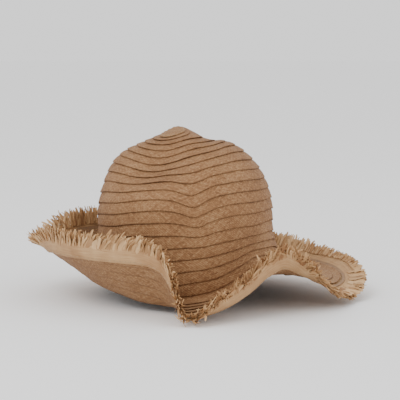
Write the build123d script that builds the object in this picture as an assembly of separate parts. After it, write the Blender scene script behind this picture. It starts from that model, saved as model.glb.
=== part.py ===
from build123d import *
import os
from functools import lru_cache
from math import atan2, cos, exp, hypot, pi, radians, sin, sqrt

# A sewn straw-braid hat with its brim bent up into three corners.
# Millimetres.  +Z is up and -Y is the front of the hat.
# Every piece follows one curved sheet, reached by two values:
#   azimuth  degrees round the crown from +X towards +Y
#   reach    length along the sheet from the middle of the crown, outwards
# A third value, lift, is the height off that sheet along its outward normal.

# ---- overall sizes -------------------------------------------------------
CROWN_HALF_LENGTH = 98.0      # front to back, at the crown's foot
CROWN_HALF_WIDTH = 86.0       # side to side, at the crown's foot
CROWN_WALL_HEIGHT = 70.0
CROWN_DOME_HEIGHT = 81.0
BRIM_WIDTH = 61.0             # crown foot to the last braid's edge
FOOT_FOLD_LENGTH = 9.0        # reach used up by the fold at the crown's foot
FOOT_PULL = 9.0               # the foot is drawn out towards the right corner
FOOT_PULL_AZIMUTH = 356.0
FOOT_PULL_SPREAD = 26.0
FOOT_PULL_HEIGHT = 55.0


@lru_cache(maxsize=None)
def dome_table():
    # arc length over the dome, in even steps of its angle
    mean_radius = (CROWN_HALF_LENGTH + CROWN_HALF_WIDTH) / 2
    count = 900
    table = [0.0]
    for step in range(count):
        angle_a = step / count * pi / 2
        angle_b = (step + 1) / count * pi / 2
        run = (sin(angle_b) - sin(angle_a)) * mean_radius
        fall = (cos(angle_a) - cos(angle_b)) * CROWN_DOME_HEIGHT
        table.append(table[-1] + hypot(run, fall))
    return table


DOME_REACH = dome_table()[-1]
FOOT_REACH = DOME_REACH + CROWN_WALL_HEIGHT
EDGE_REACH = FOOT_REACH + BRIM_WIDTH

# ---- straw braid ---------------------------------------------------------
CROWN_ROUNDS = 19
BRIM_ROUNDS = 5
FIRST_REACH = 0.5             # reach of the first braid's upper edge
BRAID_LAP = 3.0
BRAID_PITCH = (EDGE_REACH - FIRST_REACH - BRAID_LAP) / (CROWN_ROUNDS + BRIM_ROUNDS)
BRAID_WIDTH = BRAID_PITCH + BRAID_LAP
BRAID_THICKNESS = 0.9
LAP_CLEARANCE = 0.16
LAP_SLOPE = (BRAID_THICKNESS + LAP_CLEARANCE) / BRAID_PITCH
SEAM_AZIMUTH = 90.0           # rounds start and end at the centre back
END_CLEARANCE = 0.08          # degrees left between one round and the next

# ---- crown tip disc ------------------------------------------------------
TIP_RADIUS = 13.0             # covers the start of the spiral
TIP_THICKNESS = 0.9
TIP_CLEARANCE = 0.2
TIP_GRID = 9                  # points each way over the disc's surface
TIP_OFFSET_X = -13.0          # the spiral starts left of the crown's top
TIP_OFFSET_Y = -22.0

# ---- frayed edging -------------------------------------------------------
EDGING_LAP = 4.0              # sewn under the last braid
EDGING_WIDTH = 25.0           # header and fringe together
EDGING_THICKNESS = 1.0
UNDER_CLEARANCE = 0.25        # below the deepest face of the braids
UNDER_LIFT = -(LAP_SLOPE * BRAID_WIDTH + BRAID_THICKNESS + UNDER_CLEARANCE)

# ---- sweatband -----------------------------------------------------------
SWEATBAND_HEIGHT = 30.0
SWEATBAND_THICKNESS = 1.0
SWEATBAND_FOOT = 5.0          # its lower edge stands this far above the foot

# ---- brim reed and its sleeve ---------------------------------------------
REED_WIDTH = 3.0              # a flat springy strip that keeps the bends
REED_THICKNESS = 0.7
SLEEVE_WALL = 0.3
SLEEVE_CLEARANCE = 0.1        # between the reed and its sleeve
SLEEVE_LENGTH = 16.0
SLEEVE_STEPS = 4
REED_CLEARANCE = 0.5          # from the last braid's edge to the sleeve
REED_GAP = 0.6                # from the edging to the sleeve
SLEEVE_REST = SLEEVE_WALL + SLEEVE_CLEARANCE
REED_LIFT = UNDER_LIFT + REED_GAP + SLEEVE_REST + REED_THICKNESS

# ---- sewing thread -------------------------------------------------------
THREAD_WIDTH = 0.6
THREAD_THICKNESS = 0.25
THREAD_CLEARANCE = 0.35
STITCH_INSET = 1.6            # stitch line back from the sewn edge

# ---- how the crown leans -------------------------------------------------
ROW_TILT = -3.0               # degrees, rows rise to the right
SIDE_LEAN = -1.2
BACK_LEAN = -5.0
LEAN_HEIGHT = 70.0            # the lean is complete at this height
LEVEL_HEIGHT = 60.0           # the foot's own height is lost at this height

STEPS = 72                    # sections round one turn
SECTION_POINTS = 7            # points across one braid

# Brim shape, one row for each direction round the hat:
# azimuth, inner angle, turn, outer angle, edging angle, foot height
BRIM_SECTIONS = [
    (0, 2, 30, -2, 8, 16),
    (10, 3, 26, 2, 26, 15),
    (22, 6, 20, 7, 38, 11),
    (33, 9, 16, 12, 46, 7),
    (60, 18, 12, 26, 66, 1),
    (95, 31, 10, 47, 80, -3),
    (134, 39, 10, 57, 86, 3),
    (150, 37, 10, 54, 84, 6),
    (161, 31, 12, 44, 62, 9),
    (170, 26, 16, 32, 26, 11),
    (179, 28, 14, 33, 46, 12),
    (193, 31, 10, 38, 76, 12),
    (212, 32, 6, 42, 86, 11),
    (232, 32, 5, 48, 88, 8),
    (246, 25, 6, 55, 88, 4),
    (254, 18, 8, 58, 86, 3),
    (261, 9, 13, 55, 82, 3),
    (266, 1, 23, 40, 68, 4),
    (271, -3, 42, -2, 4, 5),
    (276, -2, 40, 0, 36, 6),
    (283, 0, 36, 7, 66, 8),
    (291, 5, 32, 16, 80, 12),
    (300, 9, 28, 28, 88, 18),
    (306, 11, 26, 28, 78, 22),
    (313, 10, 26, 14, 36, 26),
    (320, 8, 26, 2, -4, 26),
    (328, 5, 28, -9, -24, 25),
    (340, 1, 30, -17, -28, 23),
    (350, 0, 30, -9, -6, 19),
]

# Dents and bulges pushed into the crown by hand:
# centre (its height is above the wall's top), spread, push
CROWN_DENTS = [
    ((25, 0, 80), (15, 45, 40), (0, 0, -6)),
    ((-64, 0, 55), (22, 40, 30), (-3, 0, 4)),
    ((-27, -62, 52), (34, 30, 24), (3, 9, -9)),
    ((10, -95, 22), (12, 40, 34), (0, -2, -4)),
    ((-4, 6, 81), (12, 24, 30), (0, 0, 5)),
]


def ease(value):
    value = min(max(value, 0.0), 1.0)
    return value * value * (3.0 - 2.0 * value)


def key_slope(before, here, after, gap_before, gap_after):
    # slope of a curve that never overshoots its keys
    rise_in = (here - before) / gap_before
    rise_out = (after - here) / gap_after
    if rise_in * rise_out <= 0:
        return 0.0
    weight_in = 2.0 * gap_after + gap_before
    weight_out = gap_after + 2.0 * gap_before
    return (weight_in + weight_out) / (weight_in / rise_in + weight_out / rise_out)


@lru_cache(maxsize=None)
def brim_key(azimuth, column):
    azimuth = azimuth % 360.0
    count = len(BRIM_SECTIONS)
    index = count - 1
    for number in range(count):
        if BRIM_SECTIONS[number][0] <= azimuth:
            index = number
    spots = []
    for step in (-1, 0, 1, 2):
        row = BRIM_SECTIONS[(index + step) % count]
        turns = (index + step) // count
        spots.append((row[0] + 360.0 * turns, row[column]))
    gaps = [spots[n + 1][0] - spots[n][0] for n in range(3)]
    values = [spot[1] for spot in spots]
    slope_a = key_slope(values[0], values[1], values[2], gaps[0], gaps[1])
    slope_b = key_slope(values[1], values[2], values[3], gaps[1], gaps[2])
    t = (azimuth - spots[1][0]) / gaps[1]
    start = (2 * t**3 - 3 * t**2 + 1) * values[1]
    start += (t**3 - 2 * t**2 + t) * gaps[1] * slope_a
    finish = (3 * t**2 - 2 * t**3) * values[2]
    finish += (t**3 - t**2) * gaps[1] * slope_b
    return start + finish


def dome_angle(reach):
    table = dome_table()
    low, high = 0, len(table) - 1
    while high - low > 1:
        middle = (low + high) // 2
        if table[middle] <= reach:
            low = middle
        else:
            high = middle
    part = (reach - table[low]) / (table[high] - table[low])
    return (low + part) / (len(table) - 1) * pi / 2


BRIM_STEP = 0.5


@lru_cache(maxsize=None)
def brim_profile(azimuth):
    # outward and upward travel along the brim, every BRIM_STEP of reach
    inner, turn, outer, edging = [brim_key(azimuth, n) for n in (1, 2, 3, 4)]
    places = [(0.0, 0.0)]
    count = int((BRIM_WIDTH + EDGING_WIDTH + 12.0) / BRIM_STEP)
    for step in range(count):
        along = (step + 0.5) * BRIM_STEP
        angle = -90.0 + (inner + 90.0) * ease(along / FOOT_FOLD_LENGTH)
        angle += (outer - inner) * ease((along - turn + 5.0) / 16.0)
        angle += (edging - outer) * ease((along - BRIM_WIDTH + 8.0) / 14.0)
        out, up = places[-1]
        angle = radians(angle)
        places.append((out + cos(angle) * BRIM_STEP, up + sin(angle) * BRIM_STEP))
    return places


def brim_travel(azimuth, along):
    places = brim_profile(azimuth)
    place = min(along / BRIM_STEP, len(places) - 1.001)
    index = int(place)
    part = place - index
    out = places[index][0] * (1 - part) + places[index + 1][0] * part
    up = places[index][1] * (1 - part) + places[index + 1][1] * part
    return out, up


def lean_length(height):
    # the length over which the lean has already acted at this height
    part = min(height / LEAN_HEIGHT, 1.0)
    eased = LEAN_HEIGHT * (part**3 - part**4 / 2)
    return eased + max(height - LEAN_HEIGHT, 0.0)


def dent(x, y, z):
    for centre, spread, push in CROWN_DENTS:
        distance = ((x - centre[0]) / spread[0]) ** 2
        distance += ((y - centre[1]) / spread[1]) ** 2
        distance += ((z - CROWN_WALL_HEIGHT - centre[2]) / spread[2]) ** 2
        weight = exp(-distance) * ease(z / 40.0)
        x += push[0] * weight
        y += push[1] * weight
        z += push[2] * weight
    return x, y, z


@lru_cache(maxsize=None)
def sheet(azimuth, reach):
    turn = radians(azimuth)
    base = 1.0 / hypot(cos(turn) / CROWN_HALF_WIDTH, sin(turn) / CROWN_HALF_LENGTH)
    if reach < DOME_REACH:
        share = sin(dome_angle(reach))
        wall = CROWN_WALL_HEIGHT
    else:
        share = 1.0
        wall = max(FOOT_REACH - reach, 0.0)
    away = (azimuth - FOOT_PULL_AZIMUTH + 180.0) % 360.0 - 180.0
    pull = FOOT_PULL * exp(-((away / FOOT_PULL_SPREAD) ** 2))
    pull *= ease(1.0 - wall / FOOT_PULL_HEIGHT)
    out, up = brim_travel(azimuth, max(reach - FOOT_REACH, 0.0))
    radius = base * share + out + pull
    x = radius * cos(turn)
    y = radius * sin(turn)
    if reach < DOME_REACH:
        x += TIP_OFFSET_X * (1 - share) ** 1.5
        y += TIP_OFFSET_Y * (1 - share) ** 1.5
        across = min(hypot(x / CROWN_HALF_WIDTH, y / CROWN_HALF_LENGTH), 1.0)
        z = CROWN_WALL_HEIGHT + CROWN_DOME_HEIGHT * sqrt(1.0 - across**2)
    else:
        z = wall + up
    height = 0.0
    if reach < FOOT_REACH:
        x, y, z = dent(x, y, z)
        height = max(z, 0.0)
    z += brim_key(azimuth, 5) * (1.0 - ease(height / LEVEL_HEIGHT))
    lean = ease(height / LEAN_HEIGHT)
    length = lean_length(height)
    rise = y * sin(radians(BACK_LEAN) * lean) - x * sin(radians(ROW_TILT) * lean)
    return x + radians(SIDE_LEAN) * length, y - radians(BACK_LEAN) * length, z + rise


@lru_cache(maxsize=None)
def sheet_normal(azimuth, reach):
    ahead = sheet(azimuth + 0.4, reach)
    behind = sheet(azimuth - 0.4, reach)
    outer = sheet(azimuth, reach + 0.4)
    inner = sheet(azimuth, max(reach - 0.4, 0.05))
    along = Vector(*ahead) - Vector(*behind)
    down = Vector(*outer) - Vector(*inner)
    return down.cross(along).normalized()


def lifted(azimuth, reach, lift):
    return Vector(*sheet(azimuth, reach)) + sheet_normal(azimuth, reach) * lift


def flattened(points):
    # moves the points of an end section into one plane
    down = (points[SECTION_POINTS - 1] - points[0]).normalized()
    across = (points[-1] - points[0]).normalized()
    facing = down.cross(across).normalized()
    return [point - facing * (point - points[0]).dot(facing) for point in points]


def band_section(azimuth, reach_a, reach_b, lift_a, lift_b, thickness, is_end):
    # closed outline of a thin band where it crosses one azimuth
    top = []
    under = []
    for number in range(SECTION_POINTS):
        part = number / (SECTION_POINTS - 1)
        reach = reach_a + (reach_b - reach_a) * part
        lift = lift_a + (lift_b - lift_a) * part
        top.append(lifted(azimuth, reach, lift))
        under.append(lifted(azimuth, reach, lift - thickness))
    under.reverse()
    points = top + under
    if is_end:
        points = flattened(points)
    top = points[:SECTION_POINTS]
    under = points[SECTION_POINTS:]
    even = [n / (SECTION_POINTS - 1) for n in range(SECTION_POINTS)]
    return Wire([
        Edge.make_spline(top, parameters=even),
        Edge.make_line(top[-1], under[0]),
        Edge.make_spline(under, parameters=even),
        Edge.make_line(under[-1], top[0]),
    ])


def round_azimuths():
    # the spiral runs clockwise seen from above
    span = 360.0 - END_CLEARANCE
    return [SEAM_AZIMUTH - span * step / STEPS for step in range(STEPS + 1)]


def seam_azimuths(length):
    # a short way across the centre back
    radius = hypot(*sheet(SEAM_AZIMUTH, EDGE_REACH)[:2])
    spread = length / radius * 180.0 / pi
    steps = range(SLEEVE_STEPS + 1)
    return [SEAM_AZIMUTH + spread * (0.5 - step / SLEEVE_STEPS) for step in steps]


def band(reach_a, reach_b, lift_a, lift_b, thickness, azimuths):
    # a thin band; each bound is a function of the azimuth
    sections = []
    for azimuth in azimuths:
        is_end = azimuth in (azimuths[0], azimuths[-1])
        section = band_section(
            azimuth,
            reach_a(azimuth),
            reach_b(azimuth),
            lift_a(azimuth),
            lift_b(azimuth),
            thickness,
            is_end,
        )
        sections.append(section)
    return Solid.make_loft(sections)


def upper_edge(number, azimuth):
    turns = number + (SEAM_AZIMUTH - azimuth) / 360.0
    return FIRST_REACH + BRAID_PITCH * turns


def lower_edge(number, azimuth):
    return min(upper_edge(number, azimuth) + BRAID_WIDTH, EDGE_REACH)


def braid_lift(number, azimuth, reach):
    # outer face of one round: its upper edge is tucked under the round above
    return LAP_SLOPE * (reach - upper_edge(number, azimuth) - BRAID_WIDTH)


def braid_round(number):
    return band(
        lambda azimuth: upper_edge(number, azimuth),
        lambda azimuth: lower_edge(number, azimuth),
        lambda azimuth: braid_lift(number, azimuth, upper_edge(number, azimuth)),
        lambda azimuth: braid_lift(number, azimuth, lower_edge(number, azimuth)),
        BRAID_THICKNESS,
        round_azimuths(),
    )


def level_band(reach_start, reach_end, lift, thickness, azimuths=None):
    # a band at one reach and one lift, all the way round unless azimuths are given
    return band(
        lambda azimuth: reach_start,
        lambda azimuth: reach_end,
        lambda azimuth: lift,
        lambda azimuth: lift,
        thickness,
        azimuths or round_azimuths(),
    )


def frayed_edging():
    start = EDGE_REACH - EDGING_LAP
    return level_band(start, start + EDGING_WIDTH, UNDER_LIFT, EDGING_THICKNESS)


def edging_stitches():
    start = EDGE_REACH - EDGING_LAP / 2
    lift = UNDER_LIFT - EDGING_THICKNESS - THREAD_CLEARANCE
    return level_band(start, start + THREAD_WIDTH, lift, THREAD_THICKNESS)


def sweatband():
    end = FOOT_REACH - SWEATBAND_FOOT
    return level_band(end - SWEATBAND_HEIGHT, end, UNDER_LIFT, SWEATBAND_THICKNESS)


def sweatband_stitches():
    end = FOOT_REACH - SWEATBAND_FOOT - STITCH_INSET
    lift = UNDER_LIFT - SWEATBAND_THICKNESS - THREAD_CLEARANCE
    return level_band(end - THREAD_WIDTH, end, lift, THREAD_THICKNESS)


def reed_band(margin, azimuths):
    # the reed's section, grown by a margin on every side
    start = EDGE_REACH + REED_CLEARANCE + SLEEVE_REST
    return level_band(
        start - margin,
        start + REED_WIDTH + margin,
        REED_LIFT + margin,
        REED_THICKNESS + 2 * margin,
        azimuths,
    )


def brim_reed():
    return reed_band(0.0, round_azimuths())


def reed_sleeve():
    outside = reed_band(SLEEVE_REST, seam_azimuths(SLEEVE_LENGTH))
    bore = reed_band(SLEEVE_CLEARANCE, seam_azimuths(SLEEVE_LENGTH * 1.5))
    return (outside - bore).solids()[0]


def tip_point(across, along, lift):
    reach = hypot(across, along)
    azimuth = atan2(along, across) * 180.0 / pi
    point = Vector(*sheet(azimuth, max(reach, 0.01)))
    return point + sheet_normal(azimuth, max(reach, 2.0)) * lift


def crown_tip_disc():
    half = TIP_RADIUS * 1.1
    lift = TIP_THICKNESS + TIP_CLEARANCE
    rows = []
    for row in range(TIP_GRID):
        across = half * (2 * row / (TIP_GRID - 1) - 1)
        points = []
        for column in range(TIP_GRID):
            along = half * (2 * column / (TIP_GRID - 1) - 1)
            points.append(tip_point(across, along, lift))
        rows.append(points)
    patch = Face.make_surface_from_array_of_points(rows)
    facing = sheet_normal(0.0, 3.0) + sheet_normal(180.0, 3.0)
    facing = facing.normalized()
    slab = Solid.extrude(patch, facing * -TIP_THICKNESS)
    middle = tip_point(0.0, 0.0, 0.0)
    tool = Solid.make_cylinder(
        TIP_RADIUS, 2 * half, Plane(origin=middle - facing * half, z_dir=facing)
    )
    return (slab & tool).solids()[0]


def tip_stitches():
    inset = TIP_RADIUS - STITCH_INSET
    rise = TIP_THICKNESS + TIP_CLEARANCE + THREAD_CLEARANCE + THREAD_THICKNESS
    return level_band(inset, inset + THREAD_WIDTH, rise, THREAD_THICKNESS)


def build_nodes():
    nodes = {"crown_tip_disc": crown_tip_disc()}
    for number in range(CROWN_ROUNDS):
        nodes[f"crown_braid_{number + 1:02d}"] = braid_round(number)
    for number in range(BRIM_ROUNDS):
        name = f"brim_braid_{number + 1:02d}"
        nodes[name] = braid_round(CROWN_ROUNDS + number)
    nodes["frayed_edging"] = frayed_edging()
    nodes["sweatband"] = sweatband()
    nodes["brim_reed"] = brim_reed()
    nodes["reed_sleeve"] = reed_sleeve()
    nodes["tip_thread"] = tip_stitches()
    nodes["edging_thread"] = edging_stitches()
    nodes["sweatband_thread"] = sweatband_stitches()
    return nodes


def place_on_ground(nodes):
    # the hat's box stands on z=0 with its middle on the Z axis
    boxes = [shape.bounding_box() for shape in nodes.values()]
    low = [min(tuple(box.min)[axis] for box in boxes) for axis in range(3)]
    high = [max(tuple(box.max)[axis] for box in boxes) for axis in range(3)]
    shift = Vector(-(low[0] + high[0]) / 2, -(low[1] + high[1]) / 2, -low[2])
    return {name: shape.moved(Location(shift)) for name, shape in nodes.items()}


os.makedirs("parts", exist_ok=True)
for name, shape in place_on_ground(build_nodes()).items():
    export_step(shape, f"parts/{name}.step")
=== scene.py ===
import math

import bpy
import numpy as np
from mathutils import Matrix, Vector


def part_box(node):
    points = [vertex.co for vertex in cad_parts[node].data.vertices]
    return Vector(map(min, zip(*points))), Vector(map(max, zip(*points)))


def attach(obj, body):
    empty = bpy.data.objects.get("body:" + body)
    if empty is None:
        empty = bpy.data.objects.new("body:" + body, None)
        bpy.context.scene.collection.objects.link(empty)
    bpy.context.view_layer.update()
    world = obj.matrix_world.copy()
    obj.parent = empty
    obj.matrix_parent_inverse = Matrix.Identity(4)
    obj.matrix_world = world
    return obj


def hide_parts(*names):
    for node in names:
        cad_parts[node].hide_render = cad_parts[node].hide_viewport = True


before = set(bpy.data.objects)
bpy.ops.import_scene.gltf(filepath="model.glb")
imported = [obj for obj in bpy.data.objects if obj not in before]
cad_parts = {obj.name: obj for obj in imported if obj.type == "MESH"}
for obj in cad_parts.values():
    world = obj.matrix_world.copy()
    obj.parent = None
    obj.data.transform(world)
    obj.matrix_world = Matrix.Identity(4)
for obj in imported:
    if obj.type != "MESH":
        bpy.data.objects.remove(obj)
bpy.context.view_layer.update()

# A straw pirate hat: one long braid sewn round and round, and a frayed raffia
# edging round a brim that is bent up into three corners.
# The hat's own sheet is worked out in millimetres and put on the CAD model's place.

# the hat's sheet

hatShape = {
    "crownHalfLength": 98.0,  # front to back at the foot
    "crownHalfWidth": 86.0,
    "wallHeight": 70.0,
    "domeHeight": 81.0,
    "brimWidth": 61.0,
    "footFold": 9.0,
    "footPull": (9.0, 356.0, 26.0, 55.0),  # length, direction, spread, height
    "tipOffset": (-13.0, -22.0),
    "rowTilt": -3.0,  # degrees
    "sideLean": -1.2,
    "backLean": -5.0,
    "leanHeight": 70.0,
    "levelHeight": 60.0,
    "turnLead": 5.0,  # the brim starts to turn this far before its key
    "turnRun": 16.0,
    "edgingLead": 8.0,
    "edgingRun": 14.0,
    "dentFade": 40.0,  # dents reach their full depth at this height
}

# direction, inner angle, turn, outer angle, edging angle, foot height
brimSections = np.array([
    (0, 2, 30, -2, 8, 16), (10, 3, 26, 2, 26, 15), (22, 6, 20, 7, 38, 11),
    (33, 9, 16, 12, 46, 7), (60, 18, 12, 26, 66, 1), (95, 31, 10, 47, 80, -3),
    (134, 39, 10, 57, 86, 3), (150, 37, 10, 54, 84, 6), (161, 31, 12, 44, 62, 9),
    (170, 26, 16, 32, 26, 11), (179, 28, 14, 33, 46, 12), (193, 31, 10, 38, 76, 12),
    (212, 32, 6, 42, 86, 11), (232, 32, 5, 48, 88, 8), (246, 25, 6, 55, 88, 4),
    (254, 18, 8, 58, 86, 3), (261, 9, 13, 55, 82, 3), (266, 1, 23, 40, 68, 4),
    (271, -3, 42, -2, 4, 5), (276, -2, 40, 0, 36, 6), (283, 0, 36, 7, 66, 8),
    (291, 5, 32, 16, 80, 12), (300, 9, 28, 28, 88, 18), (306, 11, 26, 28, 78, 22),
    (313, 10, 26, 14, 36, 26), (320, 8, 26, 2, -4, 26), (328, 5, 28, -9, -24, 25),
    (340, 1, 30, -17, -28, 23), (350, 0, 30, -9, -6, 19),
], float)

# centre, spread and push of each dent or bulge in the crown
crownDents = [
    ((25, 0, 150), (15, 45, 40), (0, 0, -6)),
    ((-64, 0, 125), (22, 40, 30), (-3, 0, 4)),
    ((-27, -62, 122), (34, 30, 24), (3, 9, -9)),
    ((10, -95, 92), (12, 40, 34), (0, -2, -4)),
    ((-4, 6, 151), (12, 24, 30), (0, 0, 5)),
]


def ease(value):
    # from 0 to 1 with level ends: three squares less two cubes
    value = np.clip(value, 0.0, 1.0)
    return value * value * (3.0 - 2.0 * value)


def keySlopes(places, values):
    # harmonic mean of the slopes on both sides, and none where they change sign
    gapOut = np.diff(np.append(places, places[0] + 360.0))[:, None]
    gapIn = np.roll(gapOut, 1, 0)
    riseOut = (np.roll(values, -1, 0) - values) / gapOut
    riseIn = np.roll(riseOut, 1, 0)
    steady = riseOut * riseIn > 0
    riseIn = np.where(steady, riseIn, 1.0)
    riseOut = np.where(steady, riseOut, 1.0)
    weightIn = 2.0 * gapOut + gapIn
    weightOut = gapOut + 2.0 * gapIn
    mean = (weightIn + weightOut) / (weightIn / riseIn + weightOut / riseOut)
    return np.where(steady, mean, 0.0)


keyPlaces = brimSections[:, 0]
keyValues = brimSections[:, 1:]
keySlope = keySlopes(keyPlaces, keyValues)


def brimKeys(azimuth):
    # cubic curve through the keys of the brim, all five columns at once
    azimuth = np.asarray(azimuth, float) % 360.0
    before = np.searchsorted(keyPlaces, azimuth, side="right") - 1
    after = (before + 1) % len(keyPlaces)
    gap = (keyPlaces[after] - keyPlaces[before]) % 360.0
    t = ((azimuth - keyPlaces[before]) / gap)[..., None]
    gap = gap[..., None]
    start = (2 * t**3 - 3 * t**2 + 1) * keyValues[before]
    start += (t**3 - 2 * t**2 + t) * gap * keySlope[before]
    finish = (3 * t**2 - 2 * t**3) * keyValues[after]
    finish += (t**3 - t**2) * gap * keySlope[after]
    return start + finish


def domeTable():
    # arc length over the dome against its angle
    angle = np.linspace(0.0, math.pi / 2, 901)
    radius = (hatShape["crownHalfLength"] + hatShape["crownHalfWidth"]) / 2
    run = np.diff(np.sin(angle)) * radius
    fall = -np.diff(np.cos(angle)) * hatShape["domeHeight"]
    return angle, np.append(0.0, np.cumsum(np.hypot(run, fall)))


domeAngles, domeReaches = domeTable()
domeReach = domeReaches[-1]
footReach = domeReach + hatShape["wallHeight"]
edgeReach = footReach + hatShape["brimWidth"]

brimStep = 0.5
brimSteps = 196
turnStep = 0.25


def brimTable():
    # out and up along the brim: its angle is integrated in short steps of reach
    shape = hatShape
    keys = brimKeys(np.arange(0.0, 360.0 + turnStep / 2, turnStep))
    inner, turn, outer, rim = [keys[:, n:n + 1] for n in range(4)]
    along = (np.arange(brimSteps) + 0.5) * brimStep
    bend = ease((along - turn + shape["turnLead"]) / shape["turnRun"])
    lip = ease((along - shape["brimWidth"] + shape["edgingLead"]) / shape["edgingRun"])
    angle = -90.0 + (inner + 90.0) * ease(along / shape["footFold"])
    angle = angle + (outer - inner) * bend
    angle = angle + (rim - outer) * lip
    angle = np.radians(angle)
    out = np.cumsum(np.cos(angle), 1) * brimStep
    up = np.cumsum(np.sin(angle), 1) * brimStep
    table = np.stack([out, up], -1)
    return np.concatenate([np.zeros_like(table[:, :1]), table], 1)


brimPlaces = brimTable()


def brimTravel(azimuth, along):
    # looks up the table between its four nearest entries
    row = (azimuth % 360.0) / turnStep
    column = np.clip(along / brimStep, 0.0, brimPlaces.shape[1] - 1.001)
    r = row.astype(int)
    c = column.astype(int)
    fr = (row - r)[..., None]
    fc = (column - c)[..., None]
    near = brimPlaces[r, c] * (1 - fc) + brimPlaces[r, c + 1] * fc
    far = brimPlaces[r + 1, c] * (1 - fc) + brimPlaces[r + 1, c + 1] * fc
    travel = near * (1 - fr) + far * fr
    return travel[..., 0], travel[..., 1]


def dented(point):
    # each dent is a bell curve round its centre times its push
    for centre, spread, push in crownDents:
        away = (point - np.array(centre, float)) / np.array(spread, float)
        weight = np.exp(-(away**2).sum(-1)) * ease(point[..., 2] / hatShape["dentFade"])
        point = point + weight[..., None] * np.array(push, float)
    return point


def sheet(azimuth, reach):
    # oval of the crown, times the dome's share, plus the brim's way out and up
    shape = hatShape
    azimuth, reach = np.broadcast_arrays(np.asarray(azimuth, float), np.asarray(reach, float))
    turn = np.radians(azimuth)
    halfWidth, halfLength = shape["crownHalfWidth"], shape["crownHalfLength"]
    base = 1.0 / np.hypot(np.cos(turn) / halfWidth, np.sin(turn) / halfLength)
    onDome = reach < domeReach
    share = np.where(onDome, np.sin(np.interp(reach, domeReaches, domeAngles)), 1.0)
    wall = np.where(onDome, shape["wallHeight"], np.maximum(footReach - reach, 0.0))
    length, direction, spread, height = shape["footPull"]
    away = (azimuth - direction + 180.0) % 360.0 - 180.0
    pull = length * np.exp(-((away / spread) ** 2)) * ease(1.0 - wall / height)
    out, up = brimTravel(azimuth, np.maximum(reach - footReach, 0.0))
    radius = base * share + out + pull
    offset = np.where(onDome, (1.0 - np.minimum(share, 1.0)) ** 1.5, 0.0)
    x = radius * np.cos(turn) + shape["tipOffset"][0] * offset
    y = radius * np.sin(turn) + shape["tipOffset"][1] * offset
    across = np.minimum(np.hypot(x / halfWidth, y / halfLength), 1.0)
    dome = shape["wallHeight"] + shape["domeHeight"] * np.sqrt(1.0 - across**2)
    point = np.stack([x, y, np.where(onDome, dome, wall + up)], -1)
    onCrown = reach < footReach
    point = np.where(onCrown[..., None], dented(point), point)
    height = np.where(onCrown, np.maximum(point[..., 2], 0.0), 0.0)
    foot = brimKeys(azimuth)[..., 4] * (1.0 - ease(height / shape["levelHeight"]))
    lean = ease(height / shape["leanHeight"])
    part = np.minimum(height / shape["leanHeight"], 1.0)
    leanLength = shape["leanHeight"] * (part**3 - part**4 / 2)
    leanLength = leanLength + np.maximum(height - shape["leanHeight"], 0.0)
    tilt, side, back = [math.radians(shape[k]) for k in ("rowTilt", "sideLean", "backLean")]
    rise = point[..., 1] * np.sin(back * lean) - point[..., 0] * np.sin(tilt * lean)
    shift = np.stack([side * leanLength, -back * leanLength, foot + rise], -1)
    return point + shift


def unit(vector):
    # a vector over its own length
    return vector / np.maximum(np.linalg.norm(vector, axis=-1, keepdims=True), 1e-9)


normalStep = 0.4  # degrees one way and millimetres the other
nearestReach = 0.05


def sheetNormal(azimuth, reach):
    # cross product of the sheet's two differences
    step = normalStep
    along = sheet(azimuth + step, reach) - sheet(azimuth - step, reach)
    nearer = np.maximum(reach - step, nearestReach)
    down = sheet(azimuth, reach + step) - sheet(azimuth, nearer)
    return unit(np.cross(down, along))


def lifted(azimuth, reach, lift):
    # a point of the sheet, moved off it along its outward normal
    azimuth, reach, lift = np.broadcast_arrays(azimuth, reach, lift)
    return sheet(azimuth, reach) + sheetNormal(azimuth, reach) * lift[..., None]


braid = {
    "crownRounds": 19,
    "brimRounds": 5,
    "lap": 3.0,
    "thickness": 0.9,
    "lapClearance": 0.16,
    "firstReach": 0.5,
    "seam": 90.0,  # rounds start and end at the centre back
    "puff": 0.42,  # how far the outer face swells
    "gape": 0.7,  # how far the lower edge stands off here and there
    "gapeBias": 0.35,  # the larger, the more of the edge stands off
    "wobble": 0.6,  # how far the lower edge wanders
    "scallop": 0.24,  # depth of the plait's small waves along its edge
    "plait": 4.2,
    "step": 1.7,  # length of one facet along the braid
    "fewestSteps": 24,
    "middle": 7.0,  # from the upper edge to where the length is measured
    "underClearance": 0.25,  # from the deepest face to what is sewn below
    "looseShare": 0.5,  # the lower edge wanders from here on
    "gapeShare": 0.8,  # and stands off from here on, so the lap stays shut further in
    "hiddenShare": 0.2,  # under the round above
}
braidRounds = braid["crownRounds"] + braid["brimRounds"]
braidPitch = (edgeReach - braid["firstReach"] - braid["lap"]) / braidRounds
braidWidth = braidPitch + braid["lap"]
lapSlope = (braid["thickness"] + braid["lapClearance"]) / braidPitch
underLift = -(lapSlope * braidWidth + braid["thickness"] + braid["underClearance"])

edging = {
    "lap": 4.0,
    "width": 25.0,
    "thickness": 1.0,
    "overlap": 1.6,  # degrees by which its ends lap at the back
    "ripple": 0.35,
    "ridge": 0.12,
}


def placeShift():
    # the sheet's own edging band against the CAD one
    azimuth = np.arange(0.0, 360.0, 0.5)[:, None]
    reach = edgeReach - edging["lap"] + np.linspace(0.0, edging["width"], 51)
    top = lifted(azimuth, reach, underLift)
    under = lifted(azimuth, reach, underLift - edging["thickness"])
    low = np.minimum(top.min((0, 1)), under.min((0, 1)))
    return np.array(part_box("frayed_edging")[0]) * 1000.0 - low


hatPlace = placeShift()
print("hat sheet placed by", [round(float(v), 2) for v in hatPlace], "mm")

# meshes


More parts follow.
